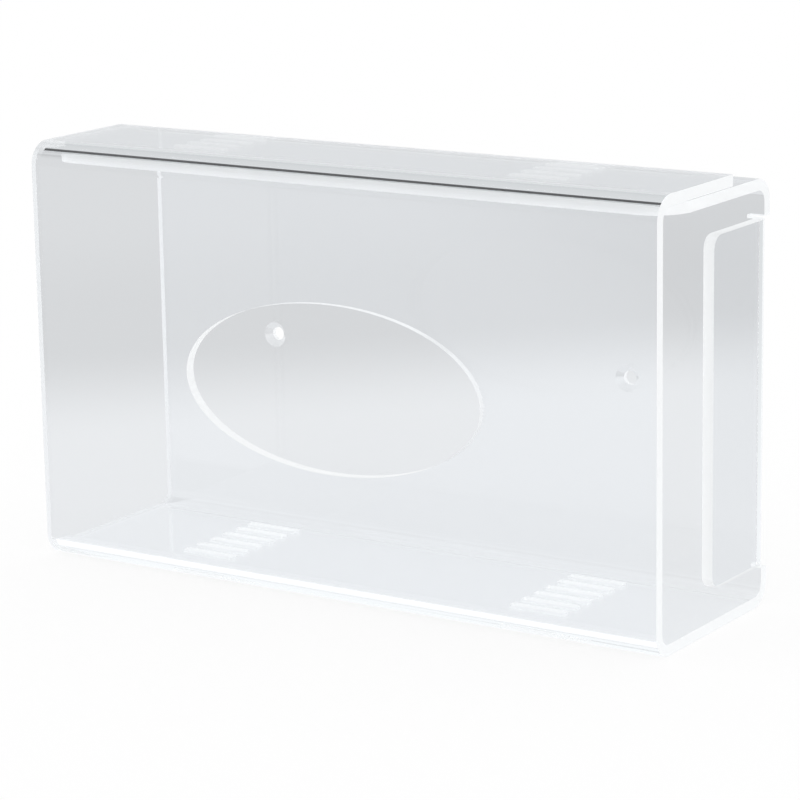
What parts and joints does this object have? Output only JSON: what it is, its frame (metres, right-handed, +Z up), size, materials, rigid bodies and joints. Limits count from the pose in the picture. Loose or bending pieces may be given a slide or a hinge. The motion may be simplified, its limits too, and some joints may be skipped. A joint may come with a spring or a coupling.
{
  "type": "disposable glove dispenser",
  "caption": "Clear acrylic glove box dispenser folded from one sheet, with an oval opening, slots, screw holes and an end stop tab.",
  "frame": {"origin": "middle of the footprint, on the plane the dispenser stands on", "axes": "+X to the right seen from the front, towards the stop tab; -Y out of the front panel with the oval; +Z up"},
  "size_m": [0.256, 0.079, 0.1542],
  "materials": {
    "clear_acrylic": "gloss"
  },
  "bodies": {
    "root": {"dispenser": "clear_acrylic"}
  },
  "joints": []
}
